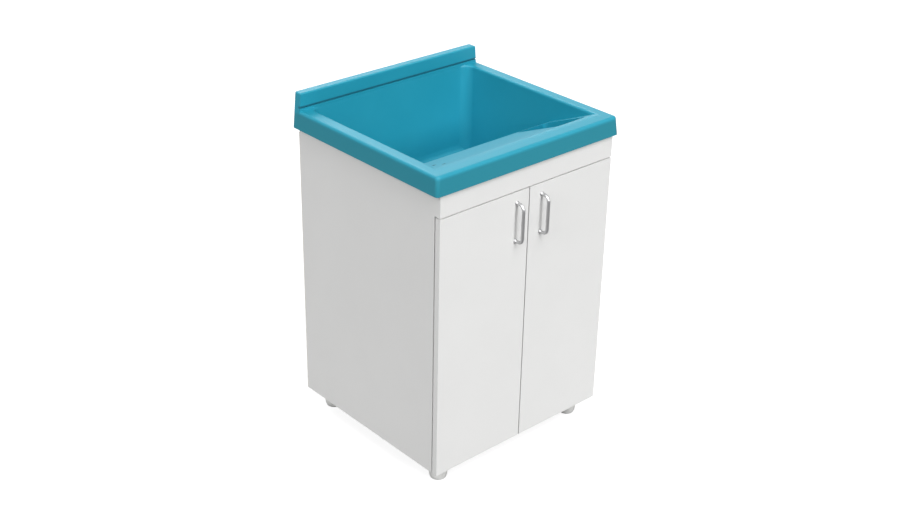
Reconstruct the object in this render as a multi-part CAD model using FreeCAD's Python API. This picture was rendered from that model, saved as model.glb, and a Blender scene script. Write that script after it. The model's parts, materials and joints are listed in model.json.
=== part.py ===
import FreeCAD, Part
import math
import os

# Laundry sink cabinet: a moulded tub with a sloped scrubbing board on a two-door cabinet.
# X runs to the right, Y to the back and Z up. The origin is on the floor, below the middle of the
# whole object, pull handles included. All sizes are in millimetres.

# Cabinet
cabinet_width = 540.0
cabinet_depth = 511.0
foot_height = 48.0
board_thickness = 15.0
back_thickness = 3.0
door_to_carcass_gap = 3.5
panel_gap = 3.0
door_height = 673.5
fascia_visible_height = 54.5
rear_rail_height = 80.0
rear_rail_drop = 60.0
service_cut_width = 220.0
service_cut_height = 160.0
service_cut_above_base = 330.0
service_cut_radius = 20.0
dowel_radius = 4.0
dowel_depth_in_face = 9.0
dowel_depth_in_edge = 20.0
dowel_inset = 60.0
rail_dowel_inset = 20.0
fascia_dowel_inset = 15.0
fascia_dowel_depth_in_face = 10.0

# Tub
skirt_height = 46.0
skirt_wall = 3.0
skirt_draft = 4.5
skirt_side_overhang = 14.5
skirt_front_overhang = 5.6
skirt_back_overhang = 3.4
skirt_corner_radius = 9.3
skirt_rear_corner_radius = 4.5
skirt_top_radius = 7.5
fascia_into_skirt = 5.0
tub_seat_gap = 0.3
rim_side_width = 35.5
basin_corner_radius = 26.0
basin_side_draft = 10.0
basin_back_draft = 8.0
basin_depth = 238.0
ramp_start = 40.0
ramp_end = 187.0
ramp_drop = 64.0
ramp_top_radius = 60.0
ramp_edge_radius = 10.0
drop_run = 30.0
basin_floor_radius = 30.0
rim_edge_radius = 6.0
rim_edge_flat = 1.0
mouth_band_height = 12.0
splash_thickness = 23.4
splash_height = 42.5
splash_top_radius = 3.5
splash_face_wall = 5.5
splash_groove_height = 3.0
splash_groove_depth = 3.0
splash_groove_above_rim = 5.5
soap_left = 127.0
soap_side_ledge = 24.0
soap_front_setback = 48.0
soap_back_lip = 7.0
soap_depth_at_lip = 18.0
soap_corner_radius = 10.0
soap_draft = 2.0
dimple_radius = 4.0
dimple_depth = 2.0
dimple_spacing = 32.0
dimple_count = 2
dimple_from_left_wall = 42.0
dimple_setback = 62.0

# Drain
drain_from_basin_back = 91.0
sump_radius = 48.0
sump_depth = 5.0
drain_hole_radius = 24.0
strainer_flange_radius = 40.0
strainer_flange_thickness = 3.0
strainer_body_radius = 22.5
strainer_wall = 2.5
strainer_body_length = 48.0
strainer_grid_radius = 3.2
strainer_ring_radius = 12.5
strainer_hole_count = 8
gasket_radius = 36.0
gasket_thickness = 3.0
lock_nut_across = 66.0
lock_nut_thickness = 12.0
lock_nut_flat_count = 6
tailpiece_radius = 20.0
tailpiece_wall = 2.0
tailpiece_length = 120.0
tail_washer = 2.0
tail_collar_height = 3.0
tail_hub_radius = 21.0
tail_hub_length = 15.0
coupling_across = 56.0
coupling_height = 24.0
coupling_floor = 3.0
coupling_flat_count = 8
drain_fit_gap = 0.2

# Door pulls
pull_hole_spacing = 96.0
pull_rod_radius = 4.0
pull_reach = 23.0
pull_bend_radius = 14.0
pull_from_centre = 39.7
pull_centre_below_door_top = 75.5
pull_collar_radius = 5.5
pull_collar_length = 2.0
pull_screw_radius = 2.0
pull_screw_head_radius = 4.0
pull_screw_head_height = 2.2
pull_screw_grip = 9.0

# Concealed door hinges
hinge_from_end = 95.0
hinge_cup_radius = 17.5
hinge_cup_depth = 12.0
hinge_cup_tab = 3.5
hinge_cup_wall = 0.6
hinge_cup_fit = 0.05
hinge_flange_thickness = 1.0
hinge_flange_height = 58.0
hinge_flange_width = 20.0
hinge_flange_margin = 1.0
hinge_flange_radius = 6.0
cup_screw_spacing = 45.0
hinge_pin_radius = 1.25
hinge_pin_from_edge = 7.5
hinge_pin_from_front = 6.5
hinge_pin_clearance = 0.05
hinge_eye_radius = 2.4
hinge_eye_half_length = 4.0
hinge_arm_thickness = 2.0
hinge_arm_half_width = 7.0
hinge_arm_bend = 2.0
hinge_arm_length = 58.0
hinge_arm_wide_from = 4.0
hinge_floor_clearance = 0.7
hinge_plate_thickness = 3.2
hinge_plate_setback = 37.0
hinge_plate_length = 46.0
hinge_plate_half_width = 8.0
hinge_plate_wing_half_height = 25.0
hinge_plate_wing_length = 14.0
hinge_plate_radius = 3.0
plate_screw_spacing = 32.0
arm_screw_from_tip = 12.0
wood_screw_radius = 1.75
wood_screw_head_radius = 3.5
wood_screw_head_height = 1.8
wood_screw_length = 12.0
cup_screw_length = 11.0
cup_screw_head_height = 1.2

# Feet
foot_top_radius = 20.0
foot_belly_radius = 23.0
foot_sole_radius = 17.0
foot_belly_height = 22.0
foot_inset = 48.0
foot_bulge_height_share = 0.4
foot_bulge_radius_share = 0.75
foot_bore_radius = 2.3
foot_counterbore_radius = 6.0
foot_counterbore_depth = 30.0
foot_screw_radius = 2.2
foot_screw_head_radius = 4.5
foot_screw_head_height = 3.0
foot_screw_grip = 11.0

# One overrun serves every cut
overrun = 20.0

# Derived places
half_width = cabinet_width / 2
pull_front = pull_reach + pull_rod_radius
overall_depth = pull_front + cabinet_depth + skirt_back_overhang
front = pull_front - overall_depth / 2
base = foot_height
door_back = front + board_thickness
carcass_front = door_back + door_to_carcass_gap
carcass_back = front + cabinet_depth - back_thickness
inner_half_width = half_width - board_thickness
door_top = base + door_height
fascia_bottom = door_top + panel_gap
skirt_bottom = fascia_bottom + fascia_visible_height
rim = skirt_bottom + skirt_height
fascia_top = skirt_bottom + fascia_into_skirt
side_top = rim - skirt_wall - tub_seat_gap
tub_half_width = half_width + skirt_side_overhang
tub_front = front - skirt_front_overhang
tub_back = front + cabinet_depth + skirt_back_overhang
splash_front = tub_back - splash_thickness
splash_top = rim + splash_height
basin_half_width = tub_half_width - rim_side_width
basin_back = splash_front
shoulder_y = front + ramp_start - ramp_top_radius
basin_floor = rim - basin_depth
ramp_edge_height = rim - ramp_drop
board_slope = ramp_drop / (ramp_end - ramp_start)
board_normal = FreeCAD.Vector(0, board_slope, 1).normalize()
drain_y = basin_back - drain_from_basin_back
sump_floor = basin_floor - sump_depth
sump_underside = sump_floor - skirt_wall
rear_rail_top = rim - rear_rail_drop
pull_z = door_top - pull_centre_below_door_top
pin_u = hinge_pin_from_edge
pin_v = hinge_pin_from_front
cup_centre_u = hinge_cup_tab + hinge_cup_radius
arm_outer_u = board_thickness + hinge_plate_thickness
carcass_front_v = board_thickness + door_to_carcass_gap
hinge_heights = (base + hinge_from_end, door_top - hinge_from_end)
sides = (("left", -1.0), ("right", 1.0))

up = FreeCAD.Vector(0, 0, 1)
back_direction = FreeCAD.Vector(0, 1, 0)
right_direction = FreeCAD.Vector(1, 0, 0)
nodes = {}


def vector(x, y, z):
    return FreeCAD.Vector(x, y, z)


def box(x_range, y_range, z_range):
    lows = [min(pair) for pair in (x_range, y_range, z_range)]
    spans = [abs(pair[1] - pair[0]) for pair in (x_range, y_range, z_range)]
    return Part.makeBox(spans[0], spans[1], spans[2], vector(*lows))


def rod(radius, length, start, direction):
    return Part.makeCylinder(radius, length, start, direction)


def mirrored(shape):
    return shape.mirror(vector(0, 0, 0), right_direction)


def plan_wire(half_width_here, y_range, radii, z):
    """Rectangle in a level plane, with one radius for its front corners and one for its rear corners."""
    half, (y0, y1), (front_radius, rear_radius) = half_width_here, y_range, radii
    corners = [(-half, y0), (half, y0), (half, y1), (-half, y1)]
    points = [vector(x, y, z) for x, y in corners]
    return rounded_wire(points, [front_radius, front_radius, rear_radius, rear_radius])


def rounded_wire(points, radii):
    """Closed wire of straight runs with a tangent arc at each point that has a radius."""
    count = len(points)
    starts, ends, middles = [], [], []
    for index, (point, radius) in enumerate(zip(points, radii)):
        before = (points[index - 1] - point).normalize()
        after = (points[(index + 1) % count] - point).normalize()
        if radius == 0:
            starts.append(point)
            ends.append(point)
            middles.append(None)
            continue
        half_angle = before.getAngle(after) / 2
        reach = radius / math.tan(half_angle)
        bisector = (before + after).normalize()
        starts.append(point + before * reach)
        ends.append(point + after * reach)
        middles.append(point + bisector * (radius / math.sin(half_angle) - radius))
    edges = []
    for index in range(count):
        if middles[index] is not None:
            edges.append(Part.Arc(starts[index], middles[index], ends[index]).toShape())
        following = (index + 1) % count
        if ends[index].distanceToPoint(starts[following]) > Part.Precision.confusion():
            edges.append(Part.LineSegment(ends[index], starts[following]).toShape())
    return Part.Wire(edges)


def grown_outline(points, growth):
    """Outline points moved outward by one growth per edge; edge i runs from point i to the next."""
    count = len(points)
    area = sum(points[i - 1][0] * points[i][1] - points[i][0] * points[i - 1][1] for i in range(count))
    turn = math.copysign(1, area)
    lines = []
    for index in range(count):
        (a0, b0), (a1, b1) = points[index], points[(index + 1) % count]
        length = math.hypot(a1 - a0, b1 - b0)
        normal = (turn * (b1 - b0) / length, -turn * (a1 - a0) / length)
        lines.append((normal, normal[0] * a0 + normal[1] * b0 + growth[index]))
    grown = []
    for index in range(count):
        (n0, d0), (n1, d1) = lines[index - 1], lines[index]
        cross = n0[0] * n1[1] - n0[1] * n1[0]
        grown.append(((d0 * n1[1] - d1 * n0[1]) / cross, (n0[0] * d1 - n1[0] * d0) / cross))
    return grown


def prism_along_x(outline, radii, x_range):
    """Solid with one (y, z) outline along the whole x range."""
    points = [vector(x_range[0], y, z) for y, z in outline]
    face = Part.Face(rounded_wire(points, radii))
    return face.extrude(vector(x_range[1] - x_range[0], 0, 0))


def prism_along_z(outline, radii, z_range):
    """Solid with one (x, y) outline along the whole z range."""
    points = [vector(x, y, z_range[0]) for x, y in outline]
    face = Part.Face(rounded_wire(points, radii))
    return face.extrude(vector(0, 0, z_range[1] - z_range[0]))


def drafted_block(low_plan, high_plan):
    """Loft between two rounded rectangles, each given as half width, y range, corner radii and height."""
    return Part.makeLoft([plan_wire(*low_plan), plan_wire(*high_plan)], True, True)


# Tub
def skirt_half_width(inset, z):
    """Half width of the flared sides at a height, moved inward by the inset."""
    return tub_half_width - inset - skirt_draft * (z - skirt_bottom) / skirt_height


def skirt_form(inset, y_back, z_high):
    """Flared body of the rim and skirt in front of a line, moved inward by the inset."""
    radii = (skirt_corner_radius - inset, 0)
    y_front = tub_front + inset
    low = (skirt_half_width(inset, skirt_bottom), (y_front, y_back), radii, skirt_bottom)
    high = (skirt_half_width(inset, z_high), (y_front + skirt_draft, y_back), radii, z_high)
    return drafted_block(low, high)


def splash_form(inset, face_inset):
    """Upstand along the back edge, with ends that carry on the flare of the skirt's sides."""
    radii = (0, skirt_rear_corner_radius - inset)
    y_range = (splash_front + face_inset, tub_back - inset)
    z_high = splash_top - inset
    low = (skirt_half_width(inset, skirt_bottom), y_range, radii, skirt_bottom)
    high = (skirt_half_width(inset, z_high), y_range, radii, z_high)
    return drafted_block(low, high)


def basin_plan(growth, z):
    """Plan of the basin at a height: half width, depth range and corner radii, with drafted walls."""
    depth_below_rim_share = (rim - z) / basin_depth
    half = basin_half_width - basin_side_draft * depth_below_rim_share + growth
    y_back = basin_back - basin_back_draft * depth_below_rim_share + growth
    corner = basin_corner_radius + growth
    return half, (shoulder_y - corner, y_back), (corner, corner), z


def basin_outline(growth, top):
    """Side outline of the basin with the sloped board, as (y, z) points and their radii."""
    core = [
        (front + ramp_start, rim),
        (front + ramp_end, ramp_edge_height),
        (front + ramp_end + drop_run, basin_floor),
        (basin_back - basin_back_draft, basin_floor),
        (basin_back, rim),
    ]
    floor_radius = basin_floor_radius + growth
    if top == rim:
        back_growth = growth * math.cos(math.atan2(basin_back_draft, basin_depth))
        outline = grown_outline(core, [growth, growth, growth, back_growth, 0])
        return outline, [0, ramp_edge_radius - growth, floor_radius, floor_radius, 0]
    outline = [(shoulder_y, rim)] + core + [(basin_back, top), (shoulder_y, top)]
    return outline, [0, ramp_top_radius, ramp_edge_radius, floor_radius, floor_radius, 0, 0, 0]


def basin_form(growth, top):
    """Basin space: the side outline across the width, cut to the drafted plan, with the soap dish."""
    outline, radii = basin_outline(growth, top)
    half = tub_half_width
    trough = prism_along_x(outline, radii, (-half, half))
    plan = drafted_block(basin_plan(growth, basin_floor - growth), basin_plan(growth, top))
    return trough.common(plan).fuse(soap_form(growth))


def over_board(board_line, board_radii, top):
    """Space above the line of the board, back to the upstand."""
    outline = board_line + [(splash_front, board_line[-1][1]), (splash_front, top), (board_line[0][0], top)]
    radii = board_radii + [0] * (len(outline) - len(board_radii))
    return prism_along_x(outline, radii, (-tub_half_width, tub_half_width))


def mouth_band():
    """Thicker band of the basin's wall under the rounded edge of the rim."""
    outline = basin_outline(skirt_wall, rim)[0]
    growth = skirt_wall + rim_edge_flat
    band = drafted_block(basin_plan(growth, rim - mouth_band_height), basin_plan(growth, rim))
    return band.common(over_board(outline[:2], [], rim + overrun))


def mouth_form():
    """Rounded upper edge of the basin, from its walls out to the rim, above the line of the board."""
    throat = drafted_block(basin_plan(0, rim - mouth_band_height), basin_plan(0, rim))
    half, y_range, _, _ = basin_plan(rim_edge_radius + rim_edge_flat, rim)
    top = rim + overrun
    mouth = throat.fuse(box((-half, half), y_range, (rim, top)))
    half, y_range, _, _ = basin_plan(rim_edge_flat, rim)
    ledge = [edge for edge in mouth.Edges
             if abs(edge.BoundBox.ZMin - rim) < rim_edge_flat
             and abs(edge.BoundBox.ZMax - rim) < rim_edge_flat
             and edge.BoundBox.XMax < half and edge.BoundBox.XMin > -half
             and edge.BoundBox.YMin > y_range[0] and edge.BoundBox.YMax < y_range[1]]
    mouth = mouth.makeFillet(rim_edge_radius, ledge)
    outline, radii = basin_outline(0, top)
    return mouth.common(over_board(outline[:3], radii[:2], top))


def soap_form(growth):
    """Level-floored soap dish let into the upper right part of the sloped board."""
    x_range = (soap_left - growth, basin_half_width - soap_side_ledge + growth)
    y_range = (front + soap_front_setback - growth, front + ramp_end - soap_back_lip + growth)
    corner = soap_corner_radius + growth
    half = (x_range[1] - x_range[0]) / 2
    low_y = (y_range[0] + soap_draft, y_range[1] - soap_draft)
    floor = ramp_edge_height + soap_back_lip * board_slope - soap_depth_at_lip - growth
    low = (half - soap_draft, low_y, (corner, corner), floor)
    high = (half, y_range, (corner, corner), rim)
    dish = drafted_block(low, high)
    return dish.translated(vector(x_range[0] + half, 0, 0))


def make_tub():
    inside_splash = splash_front + splash_face_wall
    body = skirt_form(0, inside_splash, rim)
    top_edges = [edge for edge in body.Edges
                 if edge.BoundBox.ZMin > rim - skirt_wall and edge.BoundBox.YMin < splash_front]
    body = body.makeFillet(skirt_top_radius, top_edges)
    splash = splash_form(0, 0)
    ridge = [edge for edge in splash.Edges if edge.BoundBox.ZMin > splash_top - skirt_wall]
    body = body.fuse(splash.makeFillet(splash_top_radius, ridge))
    body = body.cut(skirt_form(skirt_wall, inside_splash, rim - skirt_wall))
    body = body.cut(splash_form(skirt_wall, splash_face_wall))
    body = body.fuse(basin_form(skirt_wall, rim)).fuse(mouth_band())
    sump_height = basin_floor - sump_underside
    body = body.fuse(rod(sump_radius + skirt_wall, sump_height, vector(0, drain_y, sump_underside), up))
    body = body.cut(basin_form(0, rim + overrun)).cut(mouth_form())
    body = body.cut(rod(sump_radius, sump_depth + overrun, vector(0, drain_y, sump_floor), up))
    hole_start = vector(0, drain_y, sump_underside - overrun)
    body = body.cut(rod(drain_hole_radius, overrun + sump_height, hole_start, up))
    groove_low = rim + splash_groove_above_rim
    body = body.cut(box((-tub_half_width, tub_half_width),
                        (splash_front - overrun, splash_front + splash_groove_depth),
                        (groove_low, groove_low + splash_groove_height)))
    for index in range(dimple_count):
        setback = dimple_setback + index * dimple_spacing
        z = rim - (setback - ramp_start) * board_slope
        place = vector(dimple_from_left_wall - basin_half_width, front + setback, z)
        bottom = place - board_normal * dimple_depth
        body = body.cut(rod(dimple_radius, overrun, bottom, board_normal))
    return body.removeSplitter()


# Drain
def ring(outer_radius, inner_radius, height, z):
    """Upright tube round the drain's axis."""
    start = vector(0, drain_y, z)
    return rod(outer_radius, height, start, up).cut(rod(inner_radius, height, start, up))


def make_strainer():
    flange_z = sump_floor
    body = rod(strainer_flange_radius, strainer_flange_thickness, vector(0, drain_y, flange_z), up)
    bottom = flange_z + strainer_flange_thickness - strainer_body_length
    body = body.fuse(rod(strainer_body_radius, strainer_body_length, vector(0, drain_y, bottom), up))
    bore_height = strainer_body_length - strainer_flange_thickness
    body = body.cut(rod(strainer_body_radius - strainer_wall, bore_height, vector(0, drain_y, bottom), up))
    holes = [vector(0, drain_y, flange_z)]
    for index in range(strainer_hole_count):
        angle = 2 * math.pi * index / strainer_hole_count
        holes.append(vector(strainer_ring_radius * math.cos(angle),
                            drain_y + strainer_ring_radius * math.sin(angle), flange_z))
    for hole in holes:
        body = body.cut(rod(strainer_grid_radius, strainer_flange_thickness, hole, up))
    return body


def many_sided(across, count, height, z):
    """Prism with flat sides round the drain's axis."""
    radius = across / 2 / math.cos(math.pi / count)
    angles = [2 * math.pi * (index + 1 / 2) / count for index in range(count)]
    points = [vector(radius * math.cos(a), drain_y + radius * math.sin(a), z) for a in angles]
    return Part.Face(Part.makePolygon(points + points[:1])).extrude(vector(0, 0, height))


def make_drain():
    bore = strainer_body_radius + drain_fit_gap
    nodes["drain_strainer"] = make_strainer()
    gasket_z = sump_underside - gasket_thickness
    nodes["drain_gasket"] = ring(gasket_radius, bore, gasket_thickness, gasket_z)
    nut_z = gasket_z - lock_nut_thickness
    nut = many_sided(lock_nut_across, lock_nut_flat_count, lock_nut_thickness, nut_z)
    nodes["drain_lock_nut"] = nut.cut(rod(bore, lock_nut_thickness, vector(0, drain_y, nut_z), up))
    body_bottom = sump_floor + strainer_flange_thickness - strainer_body_length
    pipe_top = body_bottom - tail_washer
    pipe_bore = tailpiece_radius - tailpiece_wall
    pipe = ring(tailpiece_radius, pipe_bore, tailpiece_length, pipe_top - tailpiece_length)
    hub = ring(tail_hub_radius, pipe_bore, tail_hub_length, pipe_top - tail_hub_length)
    collar = ring(strainer_body_radius, pipe_bore, tail_collar_height, pipe_top - tail_collar_height)
    nodes["drain_tailpiece"] = pipe.fuse([hub, collar]).removeSplitter()
    nodes["drain_tail_washer"] = ring(strainer_body_radius, pipe_bore, tail_washer, pipe_top)
    coupling_low = pipe_top - tail_collar_height - drain_fit_gap - coupling_floor
    coupling = many_sided(coupling_across, coupling_flat_count, coupling_height, coupling_low)
    coupling = coupling.cut(rod(bore, coupling_height, vector(0, drain_y, coupling_low + coupling_floor), up))
    hub_hole = rod(tail_hub_radius + drain_fit_gap, coupling_height, vector(0, drain_y, coupling_low), up)
    nodes["drain_coupling_nut"] = coupling.cut(hub_hole)


# Carcass
def dowel_places():
    """Start point, direction and length of each dowel, and the depth of its first hole."""
    places = []
    length = dowel_depth_in_face + dowel_depth_in_edge
    for sign in (-1, 1):
        x = sign * (inner_half_width + dowel_depth_in_face)
        inward = vector(-sign, 0, 0)
        for y in (carcass_front + dowel_inset, carcass_back - dowel_inset):
            places.append((vector(x, y, base + board_thickness / 2), inward, length))
        for z in (rear_rail_top - rail_dowel_inset, rear_rail_top - rear_rail_height + rail_dowel_inset):
            places.append((vector(x, carcass_back - board_thickness / 2, z), inward, length))
        x = sign * (half_width - board_thickness / 2)
        reach = fascia_dowel_depth_in_face + dowel_depth_in_edge
        for z in (fascia_bottom + fascia_dowel_inset, fascia_top - fascia_dowel_inset):
            places.append((vector(x, carcass_front - fascia_dowel_depth_in_face, z), back_direction, reach))
    return places


def make_carcass():
    dowels = [rod(dowel_radius, length, start, way) for start, way, length in dowel_places()]
    boards = {}
    for side, sign in sides:
        x_range = (sign * inner_half_width, sign * half_width)
        boards["side_panel_" + side] = box(x_range, (carcass_front, carcass_back), (base, side_top))
    inner = (-inner_half_width, inner_half_width)
    boards["bottom_panel"] = box(inner, (carcass_front, carcass_back), (base, base + board_thickness))
    boards["rear_rail"] = box(inner, (carcass_back - board_thickness, carcass_back),
                              (rear_rail_top - rear_rail_height, rear_rail_top))
    across = (-half_width, half_width)
    boards["front_fascia"] = box(across, (front, carcass_front), (fascia_bottom, fascia_top))
    for name, board in boards.items():
        nodes[name] = board.cut(Part.makeCompound(dowels))
    nodes["carcass_dowels"] = Part.makeCompound(dowels)
    nodes["back_panel"] = make_back_panel()


def make_back_panel():
    half_cut = service_cut_width / 2
    across = (-half_width, half_width)
    panel = box(across, (carcass_back, carcass_back + back_thickness), (base, rear_rail_top))
    low = base + service_cut_above_base
    high = low + service_cut_height
    corners = [(-half_cut, low), (half_cut, low), (half_cut, high), (-half_cut, high)]
    points = [vector(x, carcass_back, z) for x, z in corners]
    hole = Part.Face(rounded_wire(points, [service_cut_radius] * len(points)))
    return panel.cut(hole.extrude(vector(0, back_thickness, 0)))


# Feet
def foot_profile():
    """Half section of the turned foot, from its axis outward and up."""
    bulge_radius = foot_sole_radius + (foot_belly_radius - foot_sole_radius) * foot_bulge_radius_share
    points = [
        vector(foot_sole_radius, 0, 0),
        vector(foot_belly_radius, 0, foot_belly_height),
        vector(foot_top_radius, 0, foot_height),
    ]
    low_bulge = vector(bulge_radius, 0, foot_belly_height * foot_bulge_height_share)
    side = [
        Part.Arc(points[0], low_bulge, points[1]).toShape(),
        Part.LineSegment(points[1], points[2]).toShape(),
        Part.LineSegment(points[2], vector(0, 0, foot_height)).toShape(),
        Part.LineSegment(vector(0, 0, foot_height), vector(0, 0, 0)).toShape(),
        Part.LineSegment(vector(0, 0, 0), points[0]).toShape(),
    ]
    return Part.Face(Part.Wire(side))


def make_feet():
    form = foot_profile().revolve(vector(0, 0, 0), up, 360)
    form = form.cut(rod(foot_bore_radius, foot_height, vector(0, 0, 0), up))
    form = form.cut(rod(foot_counterbore_radius, foot_counterbore_depth, vector(0, 0, 0), up))
    screw_reach = foot_height - foot_counterbore_depth + foot_screw_grip
    screw = rod(foot_screw_radius, screw_reach, vector(0, 0, foot_counterbore_depth), up)
    head_z = foot_counterbore_depth - foot_screw_head_height
    screw = screw.fuse(rod(foot_screw_head_radius, foot_screw_head_height, vector(0, 0, head_z), up))
    screws = []
    rows = (("front", front + foot_inset), ("rear", front + cabinet_depth - foot_inset))
    for row, y in rows:
        for side, sign in sides:
            place = vector(sign * (half_width - foot_inset), y, 0)
            nodes[f"foot_{row}_{side}"] = form.translated(place)
            screws.append(screw.translated(place))
    nodes["foot_screws"] = Part.makeCompound(screws)
    nodes["bottom_panel"] = nodes["bottom_panel"].cut(nodes["foot_screws"])


# Doors, pulls and hinges are drawn for the left door and mirrored for the right one
def pull_path():
    """Bow of a pull handle: two legs and a bar with round bends."""
    z_low = pull_z - pull_hole_spacing / 2
    z_high = z_low + pull_hole_spacing
    x = -pull_from_centre
    bar = front - pull_reach
    bend_start = bar + pull_bend_radius
    bar_low = z_low + pull_bend_radius
    bar_high = z_high - pull_bend_radius
    shift = pull_bend_radius * (1 - math.cos(math.pi / 4))
    low_bend = vector(x, bar + shift, z_low + shift)
    high_bend = vector(x, bar + shift, z_high - shift)
    runs = [
        Part.LineSegment(vector(x, front, z_low), vector(x, bend_start, z_low)),
        Part.Arc(vector(x, bend_start, z_low), low_bend, vector(x, bar, bar_low)),
        Part.LineSegment(vector(x, bar, bar_low), vector(x, bar, bar_high)),
        Part.Arc(vector(x, bar, bar_high), high_bend, vector(x, bend_start, z_high)),
        Part.LineSegment(vector(x, bend_start, z_high), vector(x, front, z_high)),
    ]
    return Part.Wire([run.toShape() for run in runs])


def make_pull():
    path = pull_path()
    start = path.Vertexes[0].Point
    section = Part.Wire(Part.makeCircle(pull_rod_radius, start, back_direction))
    pull = path.makePipeShell([section], True, False)
    screws = []
    for way in (-1, 1):
        z = pull_z + way * pull_hole_spacing / 2
        foot = vector(-pull_from_centre, front, z)
        collar_start = foot - back_direction * pull_collar_length
        pull = pull.fuse(rod(pull_collar_radius, pull_collar_length, collar_start, back_direction))
        tip = foot - back_direction * pull_screw_grip
        shank = rod(pull_screw_radius, pull_screw_grip + board_thickness, tip, back_direction)
        seat = vector(foot.x, door_back, z)
        head = rod(pull_screw_head_radius, pull_screw_head_height, seat, back_direction)
        screws.append(shank.fuse(head).removeSplitter())
    return pull.cut(Part.makeCompound(screws)).removeSplitter(), Part.makeCompound(screws)


def hinge_point(u, v, z):
    """Place at u in from the left side's outer face and v behind the door's front face."""
    return vector(u - half_width, front + v, z)


def hinge_rod(radius, v_range, u, z):
    """Cylinder across the door's thickness."""
    return rod(radius, v_range[1] - v_range[0], hinge_point(u, v_range[0], z), back_direction)


def make_cup(z):
    floor_v = board_thickness - hinge_cup_depth
    outer = hinge_cup_radius - hinge_cup_fit
    flange_end = board_thickness + hinge_flange_thickness
    cup = hinge_rod(outer, (floor_v, board_thickness), cup_centre_u, z)
    half = hinge_flange_height / 2
    u_range = (hinge_flange_margin, hinge_flange_margin + hinge_flange_width)
    corners = [(u_range[0], z - half), (u_range[1], z - half), (u_range[1], z + half), (u_range[0], z + half)]
    points = [hinge_point(u, board_thickness, height) for u, height in corners]
    ears = Part.Face(rounded_wire(points, [hinge_flange_radius] * len(points)))
    cup = cup.fuse(ears.extrude(vector(0, hinge_flange_thickness, 0)))
    lip = hinge_rod(outer + hinge_flange_margin, (board_thickness, flange_end), cup_centre_u, z)
    cup = cup.fuse(lip)
    space = hinge_rod(outer - hinge_cup_wall, (floor_v + hinge_cup_wall, flange_end), cup_centre_u, z)
    screws = make_cup_screws(z)
    return cup.cut(space).cut(Part.makeCompound(screws)), space, screws


def make_cup_screws(z):
    start = board_thickness + hinge_flange_thickness
    screws = []
    for way in (-1, 1):
        height = z + way * cup_screw_spacing / 2
        u = hinge_flange_margin + hinge_flange_width / 2
        shank = hinge_rod(wood_screw_radius, (start - cup_screw_length, start), u, height)
        head = hinge_rod(wood_screw_head_radius, (start, start + cup_screw_head_height), u, height)
        screws.append(shank.fuse(head).removeSplitter())
    return screws


def make_arm(z):
    """Hooked strip from the mounting plate into the cup, with an eye round the pin."""
    low_v = board_thickness - hinge_cup_depth + hinge_cup_wall + hinge_floor_clearance
    inner_u = arm_outer_u + hinge_arm_thickness
    arm_end = carcass_front_v + hinge_arm_length
    outline = [(pin_u, low_v), (inner_u, low_v), (inner_u, arm_end), (arm_outer_u, arm_end),
               (arm_outer_u, low_v + hinge_arm_thickness), (pin_u, low_v + hinge_arm_thickness)]
    radii = [0, hinge_arm_bend + hinge_arm_thickness, 0, 0, hinge_arm_bend, 0]
    corners = [(u - half_width, front + v) for u, v in outline]
    half = hinge_eye_half_length
    arm = prism_along_z(corners, radii, (z - half, z + half))
    eye_start = hinge_point(pin_u, pin_v, z - half)
    arm = arm.fuse(rod(hinge_eye_radius, half * 2, eye_start, up))
    arm = arm.cut(rod(hinge_pin_radius + hinge_pin_clearance, half * 2, eye_start, up))
    wide_start = carcass_front_v + hinge_arm_wide_from
    wide_corners = [hinge_point(arm_outer_u, wide_start, z - hinge_arm_half_width),
                    hinge_point(arm_outer_u, arm_end, z - hinge_arm_half_width),
                    hinge_point(arm_outer_u, arm_end, z + hinge_arm_half_width),
                    hinge_point(arm_outer_u, wide_start, z + hinge_arm_half_width)]
    wide = Part.Face(rounded_wire(wide_corners, [hinge_plate_radius] * len(wide_corners)))
    return arm.fuse(wide.extrude(vector(hinge_arm_thickness, 0, 0))).removeSplitter()


def make_plate(z):
    """Cross-shaped mounting plate on the inner face of the side panel."""
    u = board_thickness
    middle_v = carcass_front_v + hinge_plate_setback

    def leaf(v_half, z_half):
        ways = ((-1, -1), (1, -1), (1, 1), (-1, 1))
        corners = [hinge_point(u, middle_v + a * v_half, z + b * z_half) for a, b in ways]
        face = Part.Face(rounded_wire(corners, [hinge_plate_radius] * len(corners)))
        return face.extrude(vector(hinge_plate_thickness, 0, 0))

    plate = leaf(hinge_plate_length / 2, hinge_plate_half_width)
    return plate.fuse(leaf(hinge_plate_wing_length / 2, hinge_plate_wing_half_height)).removeSplitter()


def make_plate_screws(z):
    """Two wood screws through the plate's wings and one short screw that holds the arm."""
    middle_v = carcass_front_v + hinge_plate_setback
    inner_u = board_thickness + hinge_plate_thickness
    screws = []
    for way in (-1, 1):
        start = hinge_point(inner_u, middle_v, z + way * plate_screw_spacing / 2)
        shank = rod(wood_screw_radius, wood_screw_length, start, -right_direction)
        head = rod(wood_screw_head_radius, wood_screw_head_height, start, right_direction)
        screws.append(shank.fuse(head).removeSplitter())
    arm_screw_v = carcass_front_v + hinge_arm_length - arm_screw_from_tip
    start = hinge_point(inner_u + hinge_arm_thickness, arm_screw_v, z)
    shank = rod(wood_screw_radius, hinge_arm_thickness + hinge_plate_thickness, start, -right_direction)
    head = rod(wood_screw_head_radius, wood_screw_head_height, start, right_direction)
    screws.append(shank.fuse(head).removeSplitter())
    return screws


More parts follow.
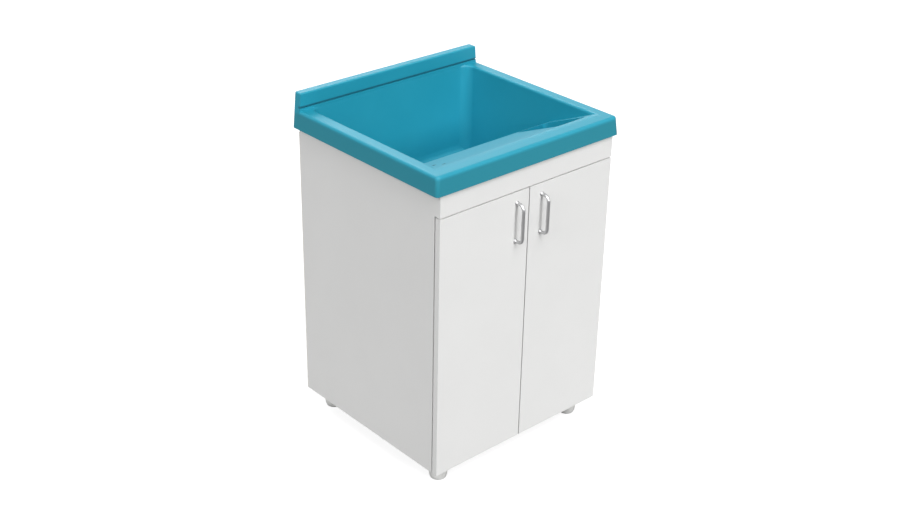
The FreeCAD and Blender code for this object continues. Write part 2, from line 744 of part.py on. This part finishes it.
def make_left_doorway():
    """All pieces of the left door and its hinges, by the name that follows the side."""
    pieces = {}
    door = box((-half_width, -panel_gap / 2), (front, door_back), (base, door_top))
    pull, pull_screws = make_pull()
    door = door.cut(pull_screws)
    cup_screws, plate_screws = [], []
    for level, z in zip(("lower", "upper"), hinge_heights):
        cup, space, screws = make_cup(z)
        floor_v = board_thickness - hinge_cup_depth
        door = door.cut(hinge_rod(hinge_cup_radius, (floor_v, board_thickness), cup_centre_u, z))
        pin = rod(hinge_pin_radius, hinge_cup_radius * 2, hinge_point(pin_u, pin_v, z - hinge_cup_radius), up)
        pieces["hinge_cup_" + level] = cup
        pieces["hinge_pin_" + level] = pin.common(space)
        cup_screws += screws
        fixings = make_plate_screws(z)
        plate_screws += fixings
        pieces["hinge_plate_" + level] = make_plate(z).cut(Part.makeCompound(fixings))
        pieces["hinge_arm_" + level] = make_arm(z).cut(Part.makeCompound(fixings))
    pieces["hinge_cup_screws"] = Part.makeCompound(cup_screws)
    pieces["hinge_plate_screws"] = Part.makeCompound(plate_screws)
    pieces["door"] = door.cut(pieces["hinge_cup_screws"])
    pieces["pull"] = pull
    pieces["pull_screws"] = pull_screws
    return pieces


def make_doorways():
    pieces = make_left_doorway()
    for name, piece in pieces.items():
        nodes[name + "_left"] = piece
        nodes[name + "_right"] = mirrored(piece)
    for side, _ in sides:
        panel = nodes["side_panel_" + side]
        nodes["side_panel_" + side] = panel.cut(nodes["hinge_plate_screws_" + side])


nodes["tub"] = make_tub()
make_drain()
make_carcass()
make_feet()
make_doorways()

os.makedirs("parts", exist_ok=True)
for name, shape in nodes.items():
    print(name, len(shape.Solids), shape.isValid(), round(shape.Volume))
    shape.exportStep(f"parts/{name}.step")
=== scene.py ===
import json
import logging
import math
from dataclasses import dataclass
from enum import Enum

import bpy
import numpy as np
from mathutils import Matrix, Vector


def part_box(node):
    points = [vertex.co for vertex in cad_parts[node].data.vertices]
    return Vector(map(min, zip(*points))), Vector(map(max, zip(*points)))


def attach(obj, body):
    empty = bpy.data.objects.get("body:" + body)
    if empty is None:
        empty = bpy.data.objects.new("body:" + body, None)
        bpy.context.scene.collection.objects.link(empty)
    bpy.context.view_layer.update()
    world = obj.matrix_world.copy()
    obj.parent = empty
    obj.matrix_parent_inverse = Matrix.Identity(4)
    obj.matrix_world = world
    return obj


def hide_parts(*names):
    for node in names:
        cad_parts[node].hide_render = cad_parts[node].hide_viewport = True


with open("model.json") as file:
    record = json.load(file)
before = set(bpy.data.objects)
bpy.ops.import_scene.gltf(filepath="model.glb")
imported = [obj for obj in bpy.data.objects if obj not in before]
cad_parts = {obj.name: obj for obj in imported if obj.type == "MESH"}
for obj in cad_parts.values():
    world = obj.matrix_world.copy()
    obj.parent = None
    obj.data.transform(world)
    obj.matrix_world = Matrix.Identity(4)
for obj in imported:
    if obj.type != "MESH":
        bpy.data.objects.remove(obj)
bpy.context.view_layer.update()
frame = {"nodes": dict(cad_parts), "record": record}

log = logging.getLogger("laundry_cabinet")
MILLIMETRE = 0.001
IMAGE_WIDTH_PX = 900


class Side(Enum):
    """Left and right half of the cabinet, seen by someone who faces the doors."""

    LEFT = "left"
    RIGHT = "right"


class Grain(Enum):
    """How the fine relief of a surface runs."""

    EVEN = (1.0, 1.0, 1.0)
    ALONG_Z = (1.0, 1.0, 0.04)
    ALONG_Y = (1.0, 0.06, 1.0)


def linear(hex_code: str) -> tuple[float, float, float, float]:
    """Turns an sRGB hex colour into linear light.

    Args:
        hex_code: Six hex digits, such as "E4E4E2".

    Returns:
        Red, green, blue and alpha as linear values.
    """
    channels = [int(hex_code[start:start + 2], 16) / 255 for start in (0, 2, 4)]
    curve = [c / 12.92 if c <= 0.04045 else ((c + 0.055) / 1.055) ** 2.4 for c in channels]
    return (curve[0], curve[1], curve[2], 1.0)


def add_node(tree: bpy.types.NodeTree, kind: str, settings: dict | None = None,
             links: dict | None = None) -> bpy.types.Node:
    """Adds a shader node with its settings and links.

    Args:
        tree: Node tree that gets the node.
        kind: Blender's name of the node type.
        settings: Values by input socket (name or number) or by attribute.
        links: Output sockets by the input socket that they feed.

    Returns:
        The new node.
    """
    node = tree.nodes.new(kind)
    for key, value in (settings or {}).items():
        if isinstance(key, int) or key in node.inputs:
            node.inputs[key].default_value = value
        else:
            setattr(node, key, value)
    for key, socket in (links or {}).items():
        tree.links.new(socket, node.inputs[key])
    return node


CLOUD_DETAIL = 3.0
CLOUD_ROUGHNESS = 0.55
RELIEF_DETAIL = 2.0
RELIEF_STRENGTH = 0.6


@dataclass(frozen=True)
class Finish:
    """One real material: its two close tones, gloss, mottling and fine relief."""

    name: str
    tone: str
    second_tone: str
    roughness: float
    metallic: float = 0.0
    ior: float = 1.5
    mottle_mm: float = 60.0
    relief_mm: float = 1.0
    relief_height_mm: float = 0.02
    gloss_change: float = 0.05
    grain: Grain = Grain.EVEN

    def material(self) -> bpy.types.Material:
        """Builds the node material once and gives the same one on later calls.

        Returns:
            The material, named for what it is and how it was made.
        """
        found = bpy.data.materials.get(self.name)
        if found:
            return found
        made = bpy.data.materials.new(self.name)
        made.use_nodes = True
        tree = made.node_tree
        shader = tree.nodes["Principled BSDF"]
        shader.inputs["Metallic"].default_value = self.metallic
        if self.metallic == 0:
            shader.inputs["IOR"].default_value = self.ior
        place = add_node(tree, "ShaderNodeTexCoord").outputs["Object"]
        self.colour(tree, shader, place)
        self.relief(tree, shader, place)
        return made

    def colour(self, tree: bpy.types.NodeTree, shader: bpy.types.Node, place: bpy.types.NodeSocket) -> None:
        """Mixes the two tones by a soft cloud and lets the gloss follow it.

        Args:
            tree: Node tree of the material.
            shader: Its principled shader.
            place: Object coordinates.
        """
        cloud = add_node(tree, "ShaderNodeTexNoise",
                         {"Scale": 1 / (self.mottle_mm * MILLIMETRE), "Detail": CLOUD_DETAIL,
                          "Roughness": CLOUD_ROUGHNESS},
                         {"Vector": place})
        mix = add_node(tree, "ShaderNodeMix",
                       {"data_type": "RGBA", 6: linear(self.tone), 7: linear(self.second_tone)},
                       {0: cloud.outputs["Fac"]})
        tree.links.new(mix.outputs[2], shader.inputs["Base Color"])
        gloss = add_node(tree, "ShaderNodeMapRange",
                         {"To Min": self.roughness - self.gloss_change,
                          "To Max": self.roughness + self.gloss_change},
                         {"Value": cloud.outputs["Fac"]})
        tree.links.new(gloss.outputs["Result"], shader.inputs["Roughness"])

    def relief(self, tree: bpy.types.NodeTree, shader: bpy.types.Node, place: bpy.types.NodeSocket) -> None:
        """Adds the fine relief of the surface, drawn out along its grain.

        Args:
            tree: Node tree of the material.
            shader: Its principled shader.
            place: Object coordinates.
        """
        drawn = add_node(tree, "ShaderNodeMapping", {"Scale": self.grain.value}, {"Vector": place})
        fine = add_node(tree, "ShaderNodeTexNoise",
                        {"Scale": 1 / (self.relief_mm * MILLIMETRE), "Detail": RELIEF_DETAIL},
                        {"Vector": drawn.outputs["Vector"]})
        bump = add_node(tree, "ShaderNodeBump",
                        {"Strength": RELIEF_STRENGTH, "Distance": self.relief_height_mm * MILLIMETRE},
                        {"Height": fine.outputs["Fac"]})
        tree.links.new(bump.outputs["Normal"], shader.inputs["Normal"])


@dataclass(frozen=True)
class TubFinishWithPaintedShade(Finish):
    """Tub plastic with painted shade: a duller tone on the skirt and darker colour in the upstand's groove
    and in the two dimples.
    """

    # Painted shade: the skirt's duller tone, mixed in below the rim beside and in front of the basin.
    skirt_shade_tone: str = "198193"
    skirt_shade_share: float = 0.9
    skirt_top_mm: tuple[float, float] = (814.0, 820.0)
    skirt_inside_mm: float = 265.0
    skirt_front_mm: float = -234.0
    skirt_back_mm: float = 268.0
    # Painted shade: dark colour in the upstand's groove.
    groove_shade_tone: str = "15697E"
    # Painted shade: dark colour in a ball round each of the two dimples.
    dimple_shade_tone: str = "073440"
    groove_z_mm: float = 833.3
    groove_back_mm: float = 250.3
    groove_half_mm: float = 2.7
    dimples_mm: tuple[tuple[float, float, float], ...] = ((-207.0, -181.7, 815.4), (-207.0, -149.7, 801.5))
    dimple_radius_mm: float = 5.2
    border_share: float = 0.2

    def colour(self, tree: bpy.types.NodeTree, shader: bpy.types.Node, place: bpy.types.NodeSocket) -> None:
        """Lays painted shade over the body colour: a duller tone on the skirt, darker colour in the groove
        and dimples.

        The skirt is what lies below the rim, beside or in front of the basin. The painted shade fills a
        slab round the groove and a ball round each dimple, with a soft border.

        Args:
            tree: Node tree of the material.
            shader: Its principled shader.
            place: Object coordinates.
        """
        super().colour(tree, shader, place)
        axes = add_node(tree, "ShaderNodeSeparateXYZ", None, {"Vector": place})
        body = self.skirt(tree, shader.inputs["Base Color"].links[0].from_socket, axes)
        # Painted shade in the upstand's groove: a darker colour in a slab round it.
        rise = add_node(tree, "ShaderNodeMath",
                        {"operation": "SUBTRACT", 1: self.groove_z_mm * MILLIMETRE}, {0: axes.outputs["Z"]})
        height = add_node(tree, "ShaderNodeMath", {"operation": "ABSOLUTE"}, {0: rise.outputs[0]})
        behind = add_node(tree, "ShaderNodeMath",
                          {"operation": "SUBTRACT", 1: self.groove_back_mm * MILLIMETRE},
                          {0: axes.outputs["Y"]})
        slab = add_node(tree, "ShaderNodeMath", {"operation": "MAXIMUM"},
                        {0: height.outputs[0], 1: behind.outputs[0]})
        shaded_colour = self.paint_shade(tree, body, slab.outputs[0], self.groove_shade_tone, self.groove_half_mm)
        # Painted shade in each dimple.
        for dimple in self.dimples_mm:
            away = add_node(tree, "ShaderNodeVectorMath",
                            {"operation": "DISTANCE", 1: [v * MILLIMETRE for v in dimple]}, {0: place})
            shaded_colour = self.paint_shade(tree, shaded_colour, away.outputs["Value"], self.dimple_shade_tone, self.dimple_radius_mm)
        tree.links.new(shaded_colour, shader.inputs["Base Color"])

    def skirt(self, tree: bpy.types.NodeTree, under: bpy.types.NodeSocket,
              axes: bpy.types.Node) -> bpy.types.NodeSocket:
        """Mixes the skirt's painted shade, a duller tone, into a colour.

        Args:
            tree: Node tree of the material.
            under: Colour of the rest of the tub.
            axes: Node that gives the three coordinates.

        Returns:
            Colour with the skirt's painted shade.
        """
        low, high = (height * MILLIMETRE for height in self.skirt_top_mm)
        below = add_node(tree, "ShaderNodeMapRange",
                         {"From Min": low, "From Max": high, "To Min": self.skirt_shade_share, "To Max": 0.0},
                         {"Value": axes.outputs["Z"]})
        aside = add_node(tree, "ShaderNodeMath", {"operation": "ABSOLUTE"}, {0: axes.outputs["X"]})
        beside = add_node(tree, "ShaderNodeMath",
                          {"operation": "GREATER_THAN", 1: self.skirt_inside_mm * MILLIMETRE},
                          {0: aside.outputs[0]})
        before = add_node(tree, "ShaderNodeMath",
                          {"operation": "LESS_THAN", 1: self.skirt_front_mm * MILLIMETRE},
                          {0: axes.outputs["Y"]})
        outside = add_node(tree, "ShaderNodeMath", {"operation": "MAXIMUM"},
                           {0: beside.outputs[0], 1: before.outputs[0]})
        ahead = add_node(tree, "ShaderNodeMath",
                         {"operation": "LESS_THAN", 1: self.skirt_back_mm * MILLIMETRE},
                         {0: axes.outputs["Y"]})
        shown = add_node(tree, "ShaderNodeMath", {"operation": "MULTIPLY"},
                         {0: outside.outputs[0], 1: ahead.outputs[0]})
        share = add_node(tree, "ShaderNodeMath", {"operation": "MULTIPLY"},
                         {0: below.outputs["Result"], 1: shown.outputs[0]})
        # Painted shade: the duller tone on the skirt.
        mix = add_node(tree, "ShaderNodeMix", {"data_type": "RGBA", 7: linear(self.skirt_shade_tone)},
                       {0: share.outputs[0], 6: under})
        return mix.outputs[2]

    def paint_shade(self, tree: bpy.types.NodeTree, under: bpy.types.NodeSocket, distance: bpy.types.NodeSocket,
             tone: str, reach_mm: float) -> bpy.types.NodeSocket:
        """Darkens a colour with painted shade that ends at a distance.

        Args:
            tree: Node tree of the material.
            under: Colour below the film.
            distance: Distance from the middle of the painted shade in metres.
            tone: Colour of the painted shade.
            reach_mm: Distance at which the painted shade ends.

        Returns:
            Colour with the painted shade.
        """
        reach = reach_mm * MILLIMETRE
        span = add_node(tree, "ShaderNodeMapRange",
                        {"From Min": reach * (1 - self.border_share),
                         "From Max": reach * (1 + self.border_share)},
                        {"Value": distance})
        mix = add_node(tree, "ShaderNodeMix", {"data_type": "RGBA", 6: linear(tone)},
                       {0: span.outputs["Result"], 7: under})
        return mix.outputs[2]


# Injection-moulded polypropylene: an even body colour with a faint cloud and a soft, waxy gloss. The skirt
# has a duller tone of painted shade, because it looks so in the photograph; the groove and the two dimples
# have darker painted shade.
TUB_PLASTIC = TubFinishWithPaintedShade("moulded_polypropylene_teal", "1990A8", "2097AF", 0.5, mottle_mm=90, relief_mm=1.4,
                        relief_height_mm=0.02)
# White melamine foil on particle board: very even, with a slight orange peel that breaks the gloss.
MELAMINE = Finish("melamine_foil_white", "E3E3E2", "E7E7E6", 0.42, mottle_mm=120, relief_mm=1.6,
                  relief_height_mm=0.012)
# Painted hardboard back: duller and a little warmer than the melamine.
HARDBOARD = Finish("painted_hardboard", "D9D6CF", "E0DDD6", 0.6, mottle_mm=25, relief_mm=0.9,
                   relief_height_mm=0.05)
# Satin nickel on zinc: bright metal with a fine brushed line along the bar.
SATIN_NICKEL = Finish("satin_nickel_plate", "B9B9BA", "C6C6C7", 0.33, metallic=1.0, mottle_mm=30,
                      relief_mm=0.35, relief_height_mm=0.01, grain=Grain.ALONG_Z)
# Zinc-plated steel of hinges and screws: grey metal with cloudy passivation.
ZINC_STEEL = Finish("zinc_plated_steel", "A9ABAE", "B9BABC", 0.34, metallic=1.0, mottle_mm=6,
                    relief_mm=0.4, relief_height_mm=0.01, grain=Grain.ALONG_Y)
# Moulded polyethylene feet: matt, almost white, slightly scuffed.
FOOT_PLASTIC = Finish("moulded_polyethylene_white", "DBDBD9", "E2E2E0", 0.5, mottle_mm=14, relief_mm=0.8,
                      relief_height_mm=0.03)
# White polypropylene drain fittings: smooth with a mild gloss.
DRAIN_PLASTIC = Finish("moulded_polypropylene_white", "DEDEDC", "E6E6E4", 0.38, mottle_mm=30, relief_mm=1.0)
# Nitrile rubber seals: almost black, dull, with a fine grain.
SEAL_RUBBER = Finish("nitrile_rubber", "1C1C1C", "262626", 0.7, mottle_mm=8, relief_mm=0.5,
                     relief_height_mm=0.03)
# Beech dowels: pale wood with grain along the pin.
BEECH = Finish("beech_dowel", "C9A06C", "D8B483", 0.6, mottle_mm=5, relief_mm=0.6, grain=Grain.ALONG_Y)

FINISH_OF_SLOT = {
    "tub_plastic": TUB_PLASTIC,
    "melamine_board": MELAMINE,
    "hardboard": HARDBOARD,
    "dowel_wood": BEECH,
    "foot_plastic": FOOT_PLASTIC,
    "drain_plastic": DRAIN_PLASTIC,
    "seal_rubber": SEAL_RUBBER,
    "pull_metal": SATIN_NICKEL,
    "zinc_steel": ZINC_STEEL,
}


def dress(piece: bpy.types.Object, finish: Finish) -> None:
    """Gives a piece one finish on all its faces.

    Args:
        piece: Object to dress.
        finish: Its real material.
    """
    piece.data.materials.clear()
    piece.data.materials.append(finish.material())


JOIN_DISTANCE_MM = 0.01
SHARP_EDGE_DEG = 40


def soften_edges(piece: bpy.types.Object, width_mm: float, segments: int) -> None:
    """Joins the facets of a piece, rounds its sharp edges and smooths the rest.

    Args:
        piece: Object that gets the modifiers.
        width_mm: Width of the rounded edge.
        segments: Facets across the rounding.
    """
    weld = piece.modifiers.new("joined_facets", "WELD")
    weld.merge_threshold = JOIN_DISTANCE_MM * MILLIMETRE
    bevel = piece.modifiers.new("rounded_edges", "BEVEL")
    bevel.width = width_mm * MILLIMETRE
    bevel.segments = segments
    bevel.limit_method = "ANGLE"
    bevel.angle_limit = math.radians(SHARP_EDGE_DEG)
    bevel.harden_normals = True


def surface(name: str, points: np.ndarray, close_rows: bool, caps: bool) -> bpy.types.Object:
    """Makes a mesh object from a grid of points.

    Args:
        name: Name of the piece.
        points: Grid of shape (rows, columns, 3); columns run round the section.
        close_rows: True if the last column joins the first.
        caps: True if the first and last rows are closed by a fan to their middle.

    Returns:
        The linked object, at the origin, with smooth faces.
    """
    rows, columns = points.shape[:2]
    index = np.arange(rows * columns).reshape(rows, columns)
    following = np.roll(index, -1, axis=1)
    if not close_rows:
        index, following = index[:, :-1], following[:, :-1]
    quads = np.stack([index[:-1], following[:-1], following[1:], index[1:]], axis=-1).reshape(-1, 4)
    vertices = points.reshape(-1, 3)
    faces = quads.tolist()
    if caps:
        ends = np.stack([points[0].mean(axis=0), points[-1].mean(axis=0)])
        vertices = np.concatenate([vertices, ends])
        low, high = rows * columns, rows * columns + 1
        first, last = np.arange(columns), np.arange(columns) + (rows - 1) * columns
        faces += np.stack([np.roll(first, -1), first, np.full(columns, low)], axis=-1).tolist()
        faces += np.stack([last, np.roll(last, -1), np.full(columns, high)], axis=-1).tolist()
    mesh = bpy.data.meshes.new(name)
    mesh.from_pydata(vertices.tolist(), [], faces)
    mesh.update()
    mesh.polygons.foreach_set("use_smooth", np.ones(len(mesh.polygons), dtype=bool))
    piece = bpy.data.objects.new(name, mesh)
    bpy.context.scene.collection.objects.link(piece)
    return piece


@dataclass
class Pull:
    """Bow pull of one door: a rod with two legs, two round bends and a collar at each foot."""

    side: Side
    rod_radius_mm: float = 4.0
    bend_radius_mm: float = 14.0
    collar_radius_mm: float = 5.5
    collar_length_mm: float = 2.0
    collar_rows: tuple[float, ...] = (0.0, 0.8, 1.0, 1.3)
    collar_chamfer: float = 0.94
    facets: int = 28
    bend_steps: int = 14

    def path(self) -> tuple[np.ndarray, np.ndarray]:
        """Centre line of the rod in the plane of its legs.

        The line goes straight out of the door, turns through a quarter circle, runs along the bar
        and comes back the same way, so each bend is a circle arc of the bend radius.

        Returns:
            Points of shape (n, 3) in metres, and the radius at each point.
        """
        low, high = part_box("pull_" + self.side.value)
        rod = self.rod_radius_mm * MILLIMETRE
        bend = self.bend_radius_mm * MILLIMETRE
        collar = self.collar_radius_mm * MILLIMETRE
        bar, door = low.y + rod, high.y
        z_low, z_high = low.z + collar, high.z - collar
        turn = np.linspace(0, math.pi / 2, self.bend_steps)
        foot_y = door - np.array(self.collar_rows) * self.collar_length_mm * MILLIMETRE
        foot_radius = np.array([collar, collar, collar * self.collar_chamfer, rod])
        arc_y = bar + bend - bend * np.sin(turn)
        arc_z = z_low + bend - bend * np.cos(turn)
        half_y = np.concatenate([foot_y, arc_y])
        half_z = np.concatenate([np.full(len(foot_y), z_low), arc_z])
        half_radius = np.concatenate([foot_radius, np.full(len(turn), rod)])
        y = np.concatenate([half_y, half_y[::-1]])
        z = np.concatenate([half_z, (z_low + z_high - half_z)[::-1]])
        x = np.full(len(y), (low.x + high.x) / 2)
        return np.stack([x, y, z], axis=-1), np.concatenate([half_radius, half_radius[::-1]])

    def build(self) -> bpy.types.Object:
        """Carries a circle along the centre line; the section lies across the line's direction.

        Returns:
            The pull, on its door.
        """
        line, radius = self.path()
        along = np.gradient(line, axis=0)
        straight = len(self.collar_rows)
        along[:straight] = (0, -1, 0)
        along[-straight:] = (0, 1, 0)
        along /= np.linalg.norm(along, axis=1, keepdims=True)
        across = np.array([1.0, 0.0, 0.0])
        normal = np.cross(along, across)
        angle = np.linspace(0, 2 * math.pi, self.facets, endpoint=False)
        ring = np.cos(angle)[None, :, None] * across + np.sin(angle)[None, :, None] * normal[:, None, :]
        skin = line[:, None, :] + radius[:, None, None] * ring
        piece = surface("bow_pull_" + self.side.value, skin, True, True)
        dress(piece, SATIN_NICKEL)
        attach(piece, "door_" + self.side.value)
        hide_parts("pull_" + self.side.value)
        return piece


@dataclass
class Foot:
    """Turned-looking moulded foot under one corner."""

    node: str
    facets: int = 48
    belly_share: float = 0.46
    sole_share: float = 0.74
    top_share: float = 0.87
    low_steps: int = 14
    high_steps: int = 12

    def build(self) -> bpy.types.Object:
        """Turns the foot's half section round its axis.

        The section is a quarter ellipse from the sole up to the belly and a shallow cosine from the
        belly to the narrower top.

        Returns:
            The foot, on the cabinet.
        """
        low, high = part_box(self.node)
        centre = (low + high) / 2
        belly = (high.x - low.x) / 2
        height = high.z - low.z
        turn = np.linspace(0, math.pi / 2, self.low_steps)
        sole = belly * self.sole_share
        low_radius = sole + (belly - sole) * np.sin(turn)
        low_z = low.z + height * self.belly_share * (1 - np.cos(turn))
        rise = np.linspace(0, 1, self.high_steps)[1:]
        high_radius = belly - belly * (1 - self.top_share) * (1 - np.cos(math.pi / 2 * rise))
        high_z = low.z + height * (self.belly_share + (1 - self.belly_share) * rise)
        radius = np.concatenate([low_radius, high_radius])
        z = np.concatenate([low_z, high_z])
        angle = np.linspace(0, 2 * math.pi, self.facets, endpoint=False)
        x = centre.x + radius[:, None] * np.cos(angle)
        y = centre.y + radius[:, None] * np.sin(angle)
        points = np.stack([x, y, np.broadcast_to(z[:, None], x.shape)], axis=-1)
        piece = surface("moulded_" + self.node, points, True, True)
        dress(piece, FOOT_PLASTIC)
        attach(piece, "cabinet")
        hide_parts(self.node)
        return piece


@dataclass
class Cabinet:
    """All solids that keep their own shape, each dressed by its slot."""

    board_edge_mm: float = 0.8
    tub_edge_mm: float = 1.6
    metal_edge_mm: float = 0.25
    edge_segments: int = 3

    def edge_width(self, slot: str) -> float:
        """Chooses how wide the rounded edges of a piece are.

        Args:
            slot: Material slot of the piece.

        Returns:
            Width in millimetres.
        """
        if slot in ("melamine_board", "hardboard"):
            return self.board_edge_mm
        return self.tub_edge_mm if slot == "tub_plastic" else self.metal_edge_mm

    def dress_nodes(self, replaced: set[str]) -> None:
        """Dresses every solid that is still shown.

        Args:
            replaced: Names of the nodes that a new piece stands for.
        """
        slots = {part["node"]: part["material_slot"] for part in frame["record"]["subparts"]}
        for node, slot in slots.items():
            if node in replaced:
                continue
            piece = frame["nodes"][node]
            dress(piece, FINISH_OF_SLOT[slot])
            soften_edges(piece, self.edge_width(slot), self.edge_segments)
            log.info("dressed %s as %s", node, slot)


@dataclass(frozen=True)
class Lamp:
    """One distant lamp: the way to it, its strength and how wide it looks from the object."""

    name: str
    towards: tuple[float, float, float]
    strength: float
    spread_deg: float = 40.0

    def hang(self) -> None:
        """Adds the lamp to the scene."""
        data = bpy.data.lights.new(self.name, "SUN")
        data.energy = self.strength
        data.angle = math.radians(self.spread_deg)
        light = bpy.data.objects.new(self.name, data)
        light.rotation_euler = Vector(self.towards).to_track_quat("Z", "Y").to_euler()
        bpy.context.scene.collection.objects.link(light)


# A narrow lamp in front draws the pulls' shadows and leaves the basin's foot dark; the wide ones fill in.
LAMPS = (
    Lamp("front_lamp", (0.0, -0.93, 0.37), 1.16, 12.0),
    Lamp("front_softbox", (-0.1, -0.57, 0.82), 2.15),
    Lamp("left_softbox", (-0.85, -0.15, 0.5), 1.6),
    Lamp("rear_softbox", (0.26, 0.79, 0.55), 1.7),
)


@dataclass
class Studio:
    """Pale floor, white surroundings, the lamps and the camera of the photograph."""

    azimuth_deg: float = -41.9925
    elevation_deg: float = 27.3337
    roll_deg: float = 1.0709
    focal_px: float = 1394.37
    aside_m: float = -0.16975
    raised_m: float = 0.4404
    distance_m: float = 3.4661
    sensor_mm: float = 36.0
    far_m: float = 200.0
    floor_half_m: float = 30.0
    floor_glow: float = 0.82
    paper_tone: str = "A0A0A0"

    def camera(self) -> None:
        """Places the camera from its angles and from the door's front and the side panels' foot."""
        a, e, r = (math.radians(v) for v in (self.azimuth_deg, self.elevation_deg, self.roll_deg))
        back = Vector((math.sin(a) * math.cos(e), -math.cos(a) * math.cos(e), math.sin(e)))
        level = (-back).cross(Vector((0, 0, 1))).normalized()
        upright = level.cross(-back)
        right = math.cos(r) * level + math.sin(r) * upright
        above = math.cos(r) * upright - math.sin(r) * level
        door_low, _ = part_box("door_left")
        reference = Vector((0, door_low.y, door_low.z))
        place = reference + right * self.aside_m + above * self.raised_m + back * self.distance_m
        data = bpy.data.cameras.new("photo_camera")
        data.sensor_fit = "HORIZONTAL"
        data.sensor_width = self.sensor_mm
        data.lens = self.focal_px / IMAGE_WIDTH_PX * self.sensor_mm
        data.clip_end = self.far_m
        camera = bpy.data.objects.new("photo_camera", data)
        bpy.context.scene.collection.objects.link(camera)
        camera.matrix_world = Matrix((
            (right.x, above.x, back.x, place.x),
            (right.y, above.y, back.y, place.y),
            (right.z, above.z, back.z, place.z),
            (0, 0, 0, 1)))
        bpy.context.scene.camera = camera

    def surroundings(self) -> None:
        """White to the camera and to reflections, dark as a source of light."""
        world = bpy.data.worlds.new("white_studio")
        world.use_nodes = True
        tree = world.node_tree
        path = add_node(tree, "ShaderNodeLightPath")
        seen = add_node(tree, "ShaderNodeMath", {"operation": "MAXIMUM"},
                        {0: path.outputs["Is Camera Ray"], 1: path.outputs["Is Transmission Ray"]})
        level = add_node(tree, "ShaderNodeMath", {"operation": "MAXIMUM"},
                         {0: seen.outputs[0], 1: path.outputs["Is Glossy Ray"]})
        background = tree.nodes["Background"]
        background.inputs["Color"].default_value = (1, 1, 1, 1)
        tree.links.new(level.outputs[0], background.inputs["Strength"])
        bpy.context.scene.world = world

    def floor(self) -> None:
        """Lays a pale floor that is white to the camera and keeps part of the shadow."""
        half = self.floor_half_m
        x, y = np.meshgrid([-half, half], [-half, half])
        floor = surface("studio_floor", np.stack([x, y, np.zeros_like(x)], axis=-1), False, False)
        made = bpy.data.materials.new("pale_studio_paper")
        made.use_nodes = True
        tree = made.node_tree
        tree.nodes.clear()
        path = add_node(tree, "ShaderNodeLightPath")
        level = add_node(tree, "ShaderNodeMapRange", {"To Min": 0.0, "To Max": self.floor_glow},
                         {"Value": path.outputs["Is Camera Ray"]})
        glow = add_node(tree, "ShaderNodeEmission", {"Color": (1, 1, 1, 1)},
                        {"Strength": level.outputs["Result"]})
        paper = add_node(tree, "ShaderNodeBsdfDiffuse", {"Color": linear(self.paper_tone)})
        both = add_node(tree, "ShaderNodeAddShader", None, {0: glow.outputs[0], 1: paper.outputs[0]})
        add_node(tree, "ShaderNodeOutputMaterial", None, {"Surface": both.outputs[0]})
        floor.data.materials.append(made)

    def build(self) -> None:
        """Sets up the floor, the lamps and the camera."""
        bpy.context.scene.view_settings.view_transform = "Standard"
        self.surroundings()
        self.floor()
        for lamp in LAMPS:
            lamp.hang()
        self.camera()


def main() -> None:
    """Builds and dresses the laundry sink cabinet, then the studio round it."""
    logging.basicConfig(level=logging.INFO, format="%(name)s: %(message)s")
    replaced = set()
    for side in Side:
        pull = Pull(side).build()
        replaced.add("pull_" + side.value)
        log.info("built %s", pull.name)
    for node in sorted(frame["nodes"]):
        if node.startswith("foot_") and node != "foot_screws":
            foot = Foot(node).build()
            replaced.add(node)
            log.info("built %s", foot.name)
    Cabinet().dress_nodes(replaced)
    Studio().build()


if __name__ == "__main__":
    main()
